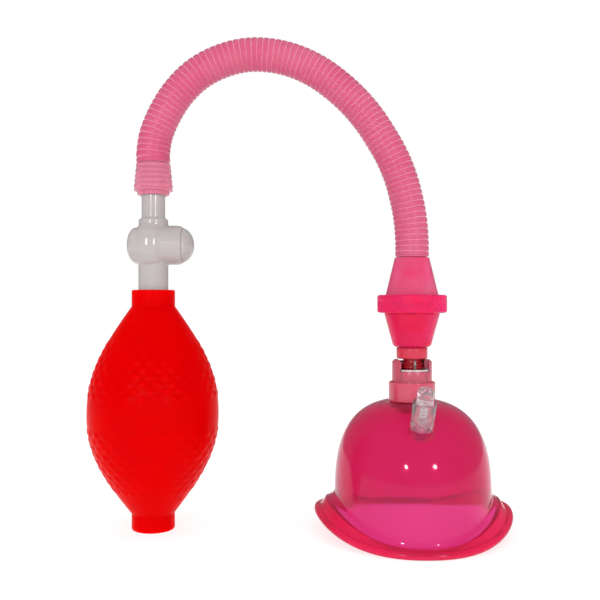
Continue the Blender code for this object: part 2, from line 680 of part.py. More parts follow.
def main():
    for old in list(bpy.data.objects):
        bpy.data.objects.remove(old)
    looks = {
        "bulb": material("red_rubber", (0.80, 0.005, 0.012), 0.45),
        "valve": material("white_plastic", (0.62, 0.58, 0.57), 0.35),
        "rubber": material("seal_rubber", (0.05, 0.05, 0.05), 0.7),
        "steel": material("spring_steel", (0.62, 0.61, 0.60), 0.25, metallic=1.0),
        "hose": material("hose_plastic", (0.80, 0.13, 0.25), 0.35),
        "coupling": material("coupling_plastic", (0.83, 0.03, 0.12), 0.35),
        "plug": material("socket_plastic", (0.65, 0.11, 0.17), 0.4),
        "cup": material("cup_plastic", (0.62, 0.02, 0.10), 0.15, alpha=0.6),
        "clear": material("clear_plastic", (0.85, 0.80, 0.82), 0.1, alpha=0.4),
    }
    make_bulb(looks)
    make_tail_valve(looks)
    make_valve_body(looks)
    make_release_button(looks)
    make_inlet_check(looks)
    make_hose(looks)
    make_coupling(looks)
    make_plug(looks)
    make_socket(looks)
    make_latch(looks)
    make_shutoff(looks)
    make_cup(looks)
    make_release_valve(looks)


main()
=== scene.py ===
"""A hand vacuum pump on a pale floor.

It has a red squeeze bulb, a white release valve, a ribbed pink hose, a check-valve coupling, a quick-release socket
and a clear magenta cup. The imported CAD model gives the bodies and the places. Every piece that shows gets a smooth,
detailed mesh here, or a better material. Lengths are in metres. Shapes are written in millimetres and multiplied
by MM.
"""

import math

import bpy
import numpy as np
from mathutils import Matrix, Vector


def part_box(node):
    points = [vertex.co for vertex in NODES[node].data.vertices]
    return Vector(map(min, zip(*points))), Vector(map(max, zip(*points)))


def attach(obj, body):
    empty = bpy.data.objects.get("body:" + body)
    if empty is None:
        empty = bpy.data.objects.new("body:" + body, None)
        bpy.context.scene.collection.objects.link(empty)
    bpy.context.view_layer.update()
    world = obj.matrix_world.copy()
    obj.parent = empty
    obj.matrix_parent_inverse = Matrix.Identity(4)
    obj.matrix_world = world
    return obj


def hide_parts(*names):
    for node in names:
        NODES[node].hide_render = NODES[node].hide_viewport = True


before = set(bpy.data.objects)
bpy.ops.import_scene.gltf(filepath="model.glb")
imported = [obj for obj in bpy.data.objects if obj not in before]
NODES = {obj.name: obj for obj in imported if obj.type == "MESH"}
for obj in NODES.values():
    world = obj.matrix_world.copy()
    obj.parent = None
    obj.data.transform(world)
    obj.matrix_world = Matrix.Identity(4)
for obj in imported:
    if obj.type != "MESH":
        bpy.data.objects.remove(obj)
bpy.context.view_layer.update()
MM = 0.001
TURN = 2 * math.pi


def middle(node):
    low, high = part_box(node)
    return (low + high) / 2


BULB_X = middle("squeeze_bulb").x
CUP_X = middle("coupling_ring").x
VALVE_Z = middle("release_button").z
CAMERA_AT = (0.00045, -0.390, 0.1069)


# ---------------------------------------------------------------- materials
def new_material(name):
    made = bpy.data.materials.new(name)
    made.use_nodes = True
    return made, made.node_tree.nodes, made.node_tree.links, made.node_tree.nodes["Principled BSDF"]


def object_noise(nodes, links, scale, detail=3.0, stretch=(1, 1, 1)):
    """Noise fixed to the piece, with a scale in features per metre."""
    place = nodes.new("ShaderNodeTexCoord")
    mapping = nodes.new("ShaderNodeMapping")
    mapping.inputs["Scale"].default_value = stretch
    noise = nodes.new("ShaderNodeTexNoise")
    noise.inputs["Scale"].default_value = scale
    noise.inputs["Detail"].default_value = detail
    links.new(place.outputs["Object"], mapping.inputs["Vector"])
    links.new(mapping.outputs["Vector"], noise.inputs["Vector"])
    return noise


def vary(nodes, links, noise, low, high, target):
    """Drives a number between two values with noise."""
    span = nodes.new("ShaderNodeMapRange")
    span.inputs["From Min"].default_value = 0.3
    span.inputs["From Max"].default_value = 0.7
    span.inputs["To Min"].default_value = low
    span.inputs["To Max"].default_value = high
    links.new(noise.outputs["Fac"], span.inputs["Value"])
    links.new(span.outputs["Result"], target)


def vary_colour(nodes, links, noise, one, other, target):
    ramp = nodes.new("ShaderNodeValToRGB")
    ramp.color_ramp.elements[0].position = 0.32
    ramp.color_ramp.elements[0].color = (*one, 1)
    ramp.color_ramp.elements[1].position = 0.68
    ramp.color_ramp.elements[1].color = (*other, 1)
    links.new(noise.outputs["Fac"], ramp.inputs["Fac"])
    links.new(ramp.outputs["Color"], target)


def roughen(nodes, links, shader, noise, depth, strength=1.0):
    bump = nodes.new("ShaderNodeBump")
    bump.inputs["Distance"].default_value = depth
    bump.inputs["Strength"].default_value = strength
    links.new(noise.outputs["Fac"], bump.inputs["Height"])
    links.new(bump.outputs["Normal"], shader.inputs["Normal"])


def plastic(
    name,
    colour,
    other,
    roughness,
    transmission=0.0,
    scatter=0.0,
    specular=0.5,
    grain=900,
    depth=0.00003,
    patch=60,
    absorb=None,
    density=0,
    ior=1.45,
    scatter_depth=0.0025,
    coat=0.0,
    tint=(1.0, 1.0, 1.0),
):
    """Moulded plastic or rubber: patches of two close colours, a fine grain, uneven gloss."""
    made, nodes, links, shader = new_material(name)
    patches = object_noise(nodes, links, patch, 2.0)
    fine = object_noise(nodes, links, grain, 2.0)
    vary_colour(nodes, links, patches, colour, other, shader.inputs["Base Color"])
    vary(nodes, links, patches, roughness * 0.85, roughness * 1.2, shader.inputs["Roughness"])
    shader.inputs["Specular IOR Level"].default_value = specular
    shader.inputs["Specular Tint"].default_value = (*tint, 1)
    shader.inputs["Transmission Weight"].default_value = transmission
    shader.inputs["IOR"].default_value = ior
    if scatter:
        shader.inputs["Subsurface Weight"].default_value = scatter
        shader.inputs["Subsurface Radius"].default_value = (1.0, 0.5, 0.5)
        shader.inputs["Subsurface Scale"].default_value = scatter_depth
    shader.inputs["Coat Weight"].default_value = coat
    shader.inputs["Coat Roughness"].default_value = 0.03
    roughen(nodes, links, shader, fine, depth)
    if absorb:
        volume = nodes.new("ShaderNodeVolumeAbsorption")
        volume.inputs["Color"].default_value = (*absorb, 1)
        volume.inputs["Density"].default_value = density
        links.new(volume.outputs["Volume"], nodes["Material Output"].inputs["Volume"])
    return made


def steel(name, colour, roughness, stretch, metallic=1.0):
    """Bright steel with fine drawn or rolled lines."""
    made, nodes, links, shader = new_material(name)
    lines = object_noise(nodes, links, 1500, 3.0, stretch)
    darker = tuple(c * 0.82 for c in colour)
    vary_colour(nodes, links, lines, colour, darker, shader.inputs["Base Color"])
    vary(nodes, links, lines, roughness * 0.7, roughness * 1.5, shader.inputs["Roughness"])
    shader.inputs["Metallic"].default_value = metallic
    roughen(nodes, links, shader, lines, 0.00002)
    return made


BULB_RED = plastic(
    "bulb_red", (0.67, 0.0, 0.0), (0.63, 0.0, 0.001), 0.30,
    scatter=1.0, specular=0.02, grain=1400, scatter_depth=0.008,
)
VALVE_WHITE = plastic(
    "valve_white", (0.50, 0.468, 0.466), (0.46, 0.427, 0.422), 0.15,
    transmission=0.10, scatter=0.5, grain=500, depth=0.00002, scatter_depth=0.002,
)
HOSE_PINK = plastic(
    "hose_pink", (0.73, 0.15, 0.27), (0.70, 0.115, 0.235), 0.24,
    transmission=0.28, scatter=0.6, grain=700, depth=0.00002, ior=1.24, scatter_depth=0.004,
)
# Lighter pink on the hose's grooves: painted highlight lines along the grooves, which also lift the shade in them.
GROOVE_HIGHLIGHT_PINK = plastic(
    "hose_groove_painted_highlight", (0.85, 0.30, 0.43), (0.82, 0.25, 0.39), 0.30,
    transmission=0.15, scatter=0.5, specular=0.3, grain=700, depth=0.00002, ior=1.28,
)
CUFF_PINK = plastic(
    "cuff_pink", (0.88, 0.33, 0.45), (0.86, 0.28, 0.42), 0.25,
    transmission=0.50, scatter=0.3, grain=700, ior=1.28,
)
RING_PINK = plastic(
    "ring_pink", (1.0, 0.045, 0.24), (1.0, 0.025, 0.18), 0.28,
    transmission=0.60, scatter=0.4, specular=0.35, grain=600, patch=70, ior=1.22,
)
COUPLING_PINK = plastic(
    "coupling_pink", (0.88, 0.030, 0.18), (0.88, 0.008, 0.09), 0.28,
    transmission=0.45, scatter=0.4, specular=0.35, grain=600, patch=70, ior=1.30,
)
CONE_PINK = plastic(
    "cone_pink", (0.86, 0.16, 0.32), (0.88, 0.045, 0.18), 0.25,
    transmission=0.45, scatter=0.4, specular=0.35, grain=600, patch=70, ior=1.30,
)
SOCKET_PINK = plastic(
    "socket_pink", (0.58, 0.108, 0.166), (0.55, 0.085, 0.14), 0.32,
    transmission=0.15, scatter=0.3, specular=0.3, grain=700,
)
COLLAR_PINK = plastic(
    "collar_pink", (0.70, 0.102, 0.17), (0.65, 0.085, 0.148), 0.17,
    transmission=0.15, scatter=0.3, specular=0.6, grain=700,
)
PLUG_PINK = plastic(
    "plug_pink", (0.67, 0.043, 0.09), (0.63, 0.034, 0.075), 0.30,
    transmission=0.15, scatter=0.3, specular=0.3, grain=700,
)
# A darker copy of the plug's pink for its shaft: painted shade where the shaft sits inside the socket.
PLUG_SHADE_RED = plastic(
    "plug_painted_shade", (0.42, 0.008, 0.02), (0.34, 0.005, 0.014), 0.3,
    transmission=0.15, scatter=0.2, specular=0.4, grain=700,
)
SEAL_DARK = plastic(
    "seal_dark", (0.03, 0.03, 0.032), (0.05, 0.048, 0.048), 0.6,
    specular=0.3, grain=1500,
)
SEAL_PALE = plastic(
    "seal_pale", (0.45, 0.36, 0.37), (0.38, 0.30, 0.31), 0.5,
    scatter=0.2, specular=0.3, grain=1500,
)
CUP_CLEAR = plastic(
    "cup_magenta", (0.81, 0.12, 0.38), (0.79, 0.10, 0.35), 0.14,
    transmission=0.90, scatter=0.2, specular=0.3, grain=70, depth=0.00008, patch=40,
    absorb=(0.97, 0.25, 0.68), density=500, ior=1.16, coat=0.26, tint=(1.0, 0.25, 0.5),
)
CUP_LIP = plastic(
    "cup_lip", (0.84, 0.034, 0.14), (0.80, 0.026, 0.11), 0.14,
    transmission=0.55, scatter=0.3, specular=0.4, grain=90, depth=0.00005, patch=40,
    absorb=(0.97, 0.25, 0.68), density=500, ior=1.24,
)
VALVE_CLEAR = plastic(
    "clear_plastic", (0.90, 0.87, 0.88), (0.86, 0.82, 0.84), 0.09,
    transmission=0.91, scatter=0.5, grain=800, depth=0.00004, ior=1.28,
)
NUT_RED = plastic(
    "nut_red", (0.85, 0.02, 0.10), (0.80, 0.01, 0.07), 0.20,
    transmission=0.85, scatter=0.3, specular=0.2, ior=1.15,
)
SPRING_STEEL = steel("spring_steel", (0.90, 0.88, 0.88), 0.20, (1, 1, 6), 0.6)
PLATE_STEEL = steel("plate_steel", (0.82, 0.81, 0.79), 0.25, (1, 8, 1), 0.55)
PIN_STEEL = steel("pin_steel", (0.42, 0.36, 0.35), 0.35, (1, 1, 5))


# ---------------------------------------------------------------- meshes
def add_mesh(name, verts, faces, look, body, node=None, slot=None, smooth=40):
    mesh = bpy.data.meshes.new(name)
    mesh.from_pydata([tuple(v) for v in verts], [], faces)
    mesh.validate()
    return add_piece(name, mesh, look, body, node, smooth)


def add_piece(name, mesh, look, body, node=None, smooth=40):
    mesh.shade_smooth()
    if smooth:
        mesh.set_sharp_from_angle(angle=math.radians(smooth))
    made = bpy.data.objects.new(name, mesh)
    bpy.context.scene.collection.objects.link(made)
    if look:
        mesh.materials.clear()
        mesh.materials.append(look)
    if body:
        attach(made, body)
    if node:
        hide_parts(node)
    return made


def grid_faces(rows, columns, loop_rows=True, loop_columns=True):
    """Quads between rows of points, facing out when rows go up the outside and columns counter-clockwise."""
    faces = []
    for i in range(rows if loop_rows else rows - 1):
        j = (i + 1) % rows
        for k in range(columns if loop_columns else columns - 1):
            m = (k + 1) % columns
            faces.append((i * columns + k, i * columns + m, j * columns + m, j * columns + k))
    return faces


def turned(outline, columns, ripple=None):
    """Points of a turned shape in millimetres. Ripple changes a radius: (radius, height, angle) to radius."""
    angles = np.linspace(0, TURN, columns, endpoint=False)
    points = []
    for radius, height in outline:
        radii = np.full(columns, float(radius))
        if ripple is not None:
            radii = ripple(radii, height, angles)
        level = np.full(columns, float(height))
        points.append(np.stack([radii * np.cos(angles), radii * np.sin(angles), level], 1))
    return np.concatenate(points)


def turn_along(points, at, along=(0, 0, 1)):
    """Moves millimetre points, whose own +Z is the axis, to their place in metres."""
    spin = np.array(Vector((0, 0, 1)).rotation_difference(Vector(along)).to_matrix())
    return points @ spin.T * MM + np.array(at)


def lathe(name, outline, look, body, at=(0, 0, 0), along=(0, 0, 1), columns=96, ripple=None, **words):
    """A turned piece. Its outline is a loop of (radius, height), or a line from axis to axis for a solid one."""
    solid = outline[0][0] < 1e-6 and outline[-1][0] < 1e-6
    if solid:
        outline = outline[1:-1]
    points = turn_along(turned(outline, columns, ripple), at, along)
    faces = grid_faces(len(outline), columns, loop_rows=not solid)
    if solid:
        faces.append(tuple(range(columns))[::-1])
        last = (len(outline) - 1) * columns
        faces.append(tuple(range(last, last + columns)))
    return add_mesh(name, points, faces, look, body, **words)


def rounded(outline, radius, steps=4, closed=True):
    """Rounds every corner of an outline of (radius, height) points, by less where the sides are short."""
    count = len(outline)
    result = []
    for i, corner in enumerate(outline):
        if not closed and i in (0, count - 1):
            result.append(corner)
            continue
        here = Vector(corner)
        to_last = Vector(outline[i - 1]) - here
        to_next = Vector(outline[(i + 1) % count]) - here
        if to_last.length < 1e-6 or to_next.length < 1e-6:
            result.append(corner)
            continue
        opening = to_last.angle(to_next)
        if opening > math.radians(172):
            result.append(corner)
            continue
        cut = min(radius / math.tan(opening / 2), 0.45 * to_last.length, 0.45 * to_next.length)
        first, second = here + to_last.normalized() * cut, here + to_next.normalized() * cut
        for k in range(steps + 1):
            t = k / steps
            point = (1 - t) ** 2 * first + 2 * t * (1 - t) * here + t**2 * second
            result.append((point.x, point.y))
    return result


def box_mesh(name, low, high):
    low, high = Vector(low) * MM, Vector(high) * MM
    corners = [(x, y, z) for x in (low.x, high.x) for y in (low.y, high.y) for z in (low.z, high.z)]
    faces = [(0, 1, 3, 2), (4, 6, 7, 5), (0, 4, 5, 1), (2, 3, 7, 6), (0, 2, 6, 4), (1, 5, 7, 3)]
    mesh = bpy.data.meshes.new(name)
    mesh.from_pydata(corners, [], faces)
    made = bpy.data.objects.new(name, mesh)
    bpy.context.scene.collection.objects.link(made)
    return made


def carve(piece, tools, bevel=0.0, remesh=0.0, smooth=0):
    """Applies Booleans with throw-away tools, then a bevel, or a voxel remesh with smoothing."""
    for tool, operation in tools:
        change = piece.modifiers.new(tool.name, "BOOLEAN")
        change.operation = operation
        change.solver = "EXACT"
        change.object = tool
    if bevel:
        edge = piece.modifiers.new("edge", "BEVEL")
        edge.width = bevel
        edge.segments = 2
        edge.limit_method = "ANGLE"
        edge.angle_limit = math.radians(38)
        edge.harden_normals = False
    if remesh:
        cells = piece.modifiers.new("cells", "REMESH")
        cells.mode = "VOXEL"
        cells.voxel_size = remesh
        soft = piece.modifiers.new("soft", "SMOOTH")
        soft.factor = 0.5
        soft.iterations = smooth
    bpy.context.view_layer.update()
    seen = piece.evaluated_get(bpy.context.evaluated_depsgraph_get())
    mesh = bpy.data.meshes.new_from_object(seen)
    piece.modifiers.clear()
    old = piece.data
    piece.data = mesh
    bpy.data.meshes.remove(old)
    for tool, _ in tools:
        bpy.data.objects.remove(tool)
    mesh.shade_smooth()
    if not remesh:
        mesh.set_sharp_from_angle(angle=math.radians(40))
    return piece


def coil(name, radius, wire, length, turns, look, body, at, along, node, slot, sides=10, steps=28):
    """A round spring with closed end turns. Radius, wire and length are in millimetres."""
    count = int(turns * steps)
    t = np.linspace(0, 1, count + 1)
    angle = t * turns * TURN
    ease = np.clip((t * turns - 0.6) / (turns - 1.2), 0, 1)
    closed_ends = (np.clip(t * turns, 0, 0.6) + np.clip(t * turns - turns + 0.6, 0, 0.6)) / 0.6
    height = ease * (length - wire * 1.6) + wire * 0.8 * closed_ends
    line = np.stack([radius * np.cos(angle), radius * np.sin(angle), height], 1)
    points = tube_points(line, np.full(count + 1, wire / 2), sides)
    faces = grid_faces(count + 1, sides, loop_rows=False)
    faces.append(tuple(range(sides))[::-1])
    faces.append(tuple(range(count * sides, (count + 1) * sides)))
    return add_mesh(name, turn_along(points, at, along), faces, look, body, node=node, slot=slot)


def tube_points(line, radii, sides, side_first=(0, 1, 0)):
    """Rings of points round a line."""
    along = np.gradient(line, axis=0)
    along /= np.linalg.norm(along, axis=1)[:, None]
    across = np.empty_like(line)
    now = np.array(side_first, float)
    for i, direction in enumerate(along):
        now = now - direction * now.dot(direction)
        now /= np.linalg.norm(now)
        across[i] = now
    up = np.cross(along, across)
    angles = np.linspace(0, TURN, sides, endpoint=False)
    ring = np.cos(angles)[None, :, None] * across[:, None, :] + np.sin(angles)[None, :, None] * up[:, None, :]
    return (line[:, None, :] + ring * np.asarray(radii)[:, None, None]).reshape(-1, 3)


# ---------------------------------------------------------------- squeeze bulb
# millimetres up the bulb: its widest level, its lower and upper shoulders, and its top
BULB_WAIST, BULB_LOW, BULB_HIGH, BULB_TOP = 54.0, 7.7, 103.9, 111.6
BULB_BELLY, BULB_NECK = 30.4, 10.0
BULB_INNER_BELLY, BULB_BORE = 28.2, 7.2
NUBS_ROUND = 26
NUB_ROW_STEP = 3.3
NUB_HALF_HEIGHT = 1.75
NUB_WIDTH_SHARE = 0.34  # half a nub's width, as a share of the step to the next
NUB_LIFT = 0.34


def bulb_radius(z, neck, belly):
    reach = np.where(z < BULB_WAIST, BULB_WAIST - BULB_LOW, BULB_HIGH - BULB_WAIST)
    along = np.clip(np.abs(z - BULB_WAIST) / reach, 0, 1)
    return neck + (belly - neck) * np.cos(math.pi / 2 * along**1.1)


def make_bulb():
    columns = 300
    tail = np.linspace(1.0, BULB_LOW, 8, endpoint=False)
    heights = np.concatenate([tail, np.linspace(BULB_LOW, BULB_HIGH, 216), np.linspace(104.6, 110.8, 8)])
    outer = [(9.0, 0.0), (9.3, 0.08), (9.7, 0.3), (9.92, 0.6)]
    outer += [(float(bulb_radius(z, BULB_NECK, BULB_BELLY)), float(z)) for z in heights]
    outer += [(9.92, 111.2), (9.75, 111.45), (9.4, BULB_TOP)]
    inner = [(7.3, BULB_TOP), (BULB_BORE, 111.5)]
    for z in np.linspace(BULB_HIGH, BULB_LOW, 24):
        inner.append((float(bulb_radius(z, BULB_BORE, BULB_INNER_BELLY)), float(z)))
    inner += [(BULB_BORE, 0.1), (7.3, 0.0)]

    rows = []
    for start, count, first in ((20.0, 9, 0), (63.5, 8, 1)):
        rows += [(start + NUB_ROW_STEP * i, (i + first) % 2) for i in range(count)]

    def nubs(radii, height, angles):
        lift = np.zeros_like(radii)
        if radii[0] < 10.5 or height < 15 or height > 96:
            return radii
        for z, shifted in rows:
            if abs(height - z) > 2.2:
                continue
            step = TURN / NUBS_ROUND
            away = (angles - shifted * step / 2 + step / 2) % step - step / 2
            reach = NUB_WIDTH_SHARE * step * radii
            shape = 1 - (away * radii / reach) ** 2 - ((height - z) / NUB_HALF_HEIGHT) ** 2
            lift = np.maximum(lift, NUB_LIFT * np.clip(shape, 0, None) ** 0.8)
        return radii + lift

    outer_points = turned(outer, columns, nubs)
    inner_points = turned(inner, columns)
    points = turn_along(np.concatenate([outer_points, inner_points]), (BULB_X, 0, 0))
    faces = grid_faces(len(outer) + len(inner), columns)
    add_mesh("bulb_skin", points, faces, BULB_RED, "pump", node="squeeze_bulb", slot="bulb_rubber", smooth=55)


# ---------------------------------------------------------------- release valve
def barrel_outline():
    points = []
    for i in range(15):
        a = math.pi / 2 * i / 14
        radius = 9.15 * math.sin(a) ** (2 / 2.9)
        points.append((radius, -3.4 - 8.5 * math.cos(a) ** (2 / 2.9)))
    points += [(9.15, 11.0), (9.1, 11.8), (8.95, 12.5), (8.7, 13.2), (8.35, 13.8), (8.0, 14.25)]
    return [(0, -11.9)] + points[1:] + [(0, points[-1][1])]


def make_valve():
    stem = [(0, 104.5), (6.4, 104.5), (6.9, 105.0), (6.9, 132.5), (6.8, 132.5), (6.8, 144.3), (6.3, 144.8)]
    stem += [(5.45, 144.8), (5.45, 169.0), (4.9, 169.6), (0, 169.6)]
    body = lathe("valve_shell", stem, VALVE_WHITE, None, (BULB_X, 0, 0), columns=80)
    at = (BULB_X, 0, VALVE_Z)
    barrel = lathe("barrel_tool", barrel_outline(), None, None, at, (1, 0, 0), columns=80)
    # an upright bulge that shows in front of the barrel between two soft vertical edges
    bulge = [(0, 121.8), (4.2, 122.4), (6.4, 124.6), (7.9, 128.2), (8.6, 132.0), (8.3, 135.5), (7.2, 138.8)]
    bulge += [(5.4, 141.4), (4.2, 143.0), (0, 143.4)]
    boss = lathe("boss_tool", bulge, None, None, (BULB_X - 0.0010, -0.0021, 0), columns=64)
    airway = [(0, 100), (4.6, 100), (4.6, 110.2), (2.2, 110.2), (2.2, 112), (3.4, 112), (3.4, 175), (0, 175)]
    chamber = [(0, 0), (3, 0), (3, 3.5), (1.8, 3.5), (1.8, 5), (6, 5), (6, 8.0), (8.05, 8.0), (8.05, 17), (0, 17)]
    bore = lathe("airway_tool", airway, None, None, (BULB_X, 0, 0), columns=48)
    room = lathe("chamber_tool", chamber, None, None, at, (1, 0, 0), columns=64)
    x = BULB_X / MM
    step = box_mesh("step_tool", (x - 14, -12, 140.55), (x - 6.95, 12, 146))
    tools = [(barrel, "UNION"), (boss, "UNION"), (step, "DIFFERENCE"), (bore, "DIFFERENCE"), (room, "DIFFERENCE")]
    carve(body, tools, remesh=0.00034, smooth=3)
    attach(body, "pump")
    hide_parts("valve_body")

    shell = [(5.2, 11.5), (7.1, 11.5), (7.88, 12.3), (7.88, 14.3), (7.75, 14.85), (7.3, 15.6), (6.65, 16.4)]
    shell += [(5.8, 17.15), (4.7, 17.85), (3.6, 18.35), (2.4, 18.7), (1.2, 18.87)]
    cap = [(0, 16.5), (1.6, 16.5), (1.6, 16.9), (5.2, 16.9)] + shell + [(0.0, 18.9)]
    lathe("release_cap", cap, VALVE_WHITE, "release", at, (1, 0, 0), columns=72, node="release_button",
          slot="valve_plastic")


# ---------------------------------------------------------------- hose
# X and Z of the hose's middle line in metres. They repeat the solid's.
HOSE_ROUTE = [
    (-0.06815, 0.1710),
    (-0.0682, 0.1760),
    (-0.0667, 0.1846),
    (-0.0623, 0.1948),
    (-0.0560, 0.2044),
    (-0.0475, 0.2126),
    (-0.0370, 0.2183),
    (-0.0253, 0.2214),
    (-0.0134, 0.2213),
    (-0.0020, 0.2186),
    (0.0085, 0.2137),
    (0.0175, 0.2073),
    (0.0256, 0.1999),
    (0.0325, 0.1918),
    (0.0382, 0.1832),
    (0.0434, 0.1741),
    (0.0475, 0.1642),
    (0.0504, 0.1535),
    (0.0521, 0.1440),
    (0.0528, 0.1347),
    (0.05285, 0.1271),
]
HOSE_PITCH = 0.00252
HOSE_R, HOSE_GROOVE_R, HOSE_BORE_R = 7.8, 7.35, 6.3  # in millimetres


def smooth_line(route, count):
    """Points on a smooth curve through the route, and its length. Count is a number, or shares of the way."""
    knots = [Vector(place) for place in route]
    knots = [2 * knots[0] - knots[1], *knots, 2 * knots[-1] - knots[-2]]
    fine = []
    for a, b, c, d in zip(knots, knots[1:], knots[2:], knots[3:]):
        for i in range(24):
            t = i / 24
            bend = (2 * a - 5 * b + 4 * c - d) * t**2 + (3 * b - 3 * c + d - a) * t**3
            fine.append(0.5 * ((2 * b) + (c - a) * t + bend))
    fine.append(knots[-2])
    fine = np.array([(p.x, 0, p.y) for p in fine])
    gone = np.concatenate([[0], np.cumsum(np.linalg.norm(np.diff(fine, axis=0), axis=1))])
    where = np.linspace(0, gone[-1], count) if isinstance(count, int) else np.asarray(count) * gone[-1]
    return np.stack([np.interp(where, gone, fine[:, i]) for i in range(3)], 1), gone[-1]


def make_hose():
    _, length = smooth_line(HOSE_ROUTE, 50)
    ribs = round(length / HOSE_PITCH)
    # one rib: (share of the pitch, radius in millimetres), with the groove at both ends
    rib = [(0.0, HOSE_GROOVE_R), (0.06, HOSE_GROOVE_R), (0.10, 7.62), (0.16, 7.75), (0.25, 7.79), (0.5, HOSE_R)]
    rib += [(0.75, 7.79), (0.84, 7.75), (0.90, 7.62), (0.94, HOSE_GROOVE_R)]
    shares, radii = [], []
    for i in range(ribs):
        for share, radius in rib:
            shares.append((i + share) / ribs)
            radii.append(radius * MM)
    shares.append(1.0)
    radii.append(HOSE_GROOVE_R * MM)
    line, _ = smooth_line(HOSE_ROUTE, shares)
    sides = 40
    outer = tube_points(line, radii, sides)
    inner_shares = np.linspace(1, 0, ribs * 4 + 1)
    inner_line, _ = smooth_line(HOSE_ROUTE, inner_shares)
    wave = HOSE_BORE_R + 0.12 * np.cos(inner_shares * ribs * TURN + math.pi)
    inner = tube_points(inner_line, wave * MM, sides)
    # both walks turn the same way round the line only when seen from the same end
    inner = inner.reshape(-1, sides, 3)[:, ::-1].reshape(-1, 3)
    inner = np.roll(inner.reshape(-1, sides, 3), 1, axis=1).reshape(-1, 3)
    rows = len(shares) + len(inner_shares)
    faces = grid_faces(rows, sides)
    piece = add_mesh("hose_ribbed", np.concatenate([outer, inner]), faces, HOSE_PINK, "pump", node="hose",
                     slot="hose_plastic", smooth=70)
    # the groove faces take the lighter groove material: painted highlight lines across the hose
    piece.data.materials.append(GROOVE_HIGHLIGHT_PINK)
    outer_faces = ribs * len(rib) * sides
    groove_highlight_rows = {0, 1, len(rib) - 2, len(rib) - 1}
    for face in piece.data.polygons:
        if face.index < outer_faces and (face.index // sides) % len(rib) in groove_highlight_rows:
            face.material_index = 1
    path, length = smooth_line(HOSE_ROUTE, 90)


def make_cuff():
    outline = [(5.75, 155.8), (7.0, 155.8), (7.3, 156.0), (7.4, 156.3), (7.4, 157.5)]
    outline += [(8.3, 157.7), (9.0, 157.9), (9.1, 158.2)]
    # ribs up the flare, each as (share of its height, how far its surface lies below the rib's top)
    rib = [(0.0, 0.55), (0.07, 0.5), (0.16, 0.1), (0.3, 0.0), (0.6, 0.0), (0.86, 0.1), (0.95, 0.5)]
    top, low, count = 170.7, 158.9, 5
    for i in range(count):
        z0 = low + (top - low) * i / count
        z1 = low + (top - low) * (i + 1) / count
        for share, dip in rib:
            z = z0 + (z1 - z0) * share
            radius = 9.05 - 1.15 * (z - low) / (top - low)
            outline.append((radius - dip, z))
    outline += [(7.4, 170.7), (5.75, 170.7)]
    lathe("cuff_ribbed", outline, CUFF_PINK, "pump", (BULB_X, 0, 0), node="hose_cuff", slot="hose_plastic",
          smooth=70)


# ---------------------------------------------------------------- coupling
RING_R = 16.15
RING_FLUTES = 84


def make_coupling():
    at = (CUP_X, 0, 0)
    upper = [(4.5, 126.8), (4.5, 118.5), (10.0, 110.0), (10.0, 105.9), (12.8, 105.9), (12.8, 108.6)]
    upper += [(12.15, 109.7), (8.0, 126.8)]
    lathe("cone_upper", rounded(upper, 0.7), CONE_PINK, "pump", at, node="coupling_upper_cone",
          slot="coupling_plastic")
    lower = [(12.8, 100.0), (12.8, 104.1), (9.5, 104.1), (9.5, 102.9), (8.8, 102.9), (8.8, 101.5), (5.3, 93.3)]
    lower += [(5.3, 85.0), (7.8, 85.0), (8.9, 85.9)]
    lathe("cone_lower", rounded(lower, 0.8), COUPLING_PINK, "pump", at, node="coupling_lower_cone",
          slot="coupling_plastic")

    outline = [(13.1, 109.3), (13.1, 100.9), (RING_R, 100.9), (RING_R, 109.3)]
    outline = rounded(outline, 1.7, 7)
    tall = []
    for a, b in zip(outline, outline[1:] + outline[:1]):
        tall.append(a)
        if abs(a[0] - RING_R) < 0.01 and abs(b[0] - RING_R) < 0.01:
            tall += [(RING_R, a[1] + (b[1] - a[1]) * k / 12) for k in range(1, 12)]

    def flutes(radii, height, angles):
        if radii[0] < 15.6:
            return radii
        edge = np.clip((height - 101.1) / 0.6, 0, 1) * np.clip((106.7 - height) / 0.5, 0, 1)
        return radii - 0.26 * edge * (0.5 - 0.5 * np.cos(angles * RING_FLUTES)) ** 1.5

    lathe("ring_fluted", tall, RING_PINK, "pump", at, columns=RING_FLUTES * 6, ripple=flutes, node="coupling_ring",
          slot="coupling_plastic", smooth=60)


# ---------------------------------------------------------------- plug and socket
def make_plug():
    collar_low = 79.6
    outline = [(2.2, 93.0), (2.2, 72.2), (1.2, 71.2), (1.2, 69.5), (5.0, 69.5), (5.3, 70.2), (4.35, 70.2)]
    outline += [(4.35, 71.8), (5.5, 71.8), (5.5, 73.5), (4.6, 73.5), (4.6, 75.2), (5.3, 75.2), (5.3, 76.0)]
    outline += [(4.6, 76.2), (4.6, 76.7), (5.2, 76.9), (5.2, 77.4), (4.2, 77.9), (4.1, collar_low)]
    outline += [(6.7, collar_low), (7.2, 80.1), (7.2, 84.4), (6.9, 84.7), (5.0, 84.7), (5.0, 93.0)]
    plug = lathe("plug_turned", rounded(outline, 0.18, 2), PLUG_PINK, "pump", (CUP_X, 0, 0), columns=80,
                 node="plug_body", slot="socket_plastic")
    # the shaft below the collar gets a darker red: painted shade where it sits down inside the socket
    plug.data.materials.append(PLUG_SHADE_RED)
    for face in plug.data.polygons:
        if face.center.z / MM < collar_low + 0.02:
            face.material_index = 1


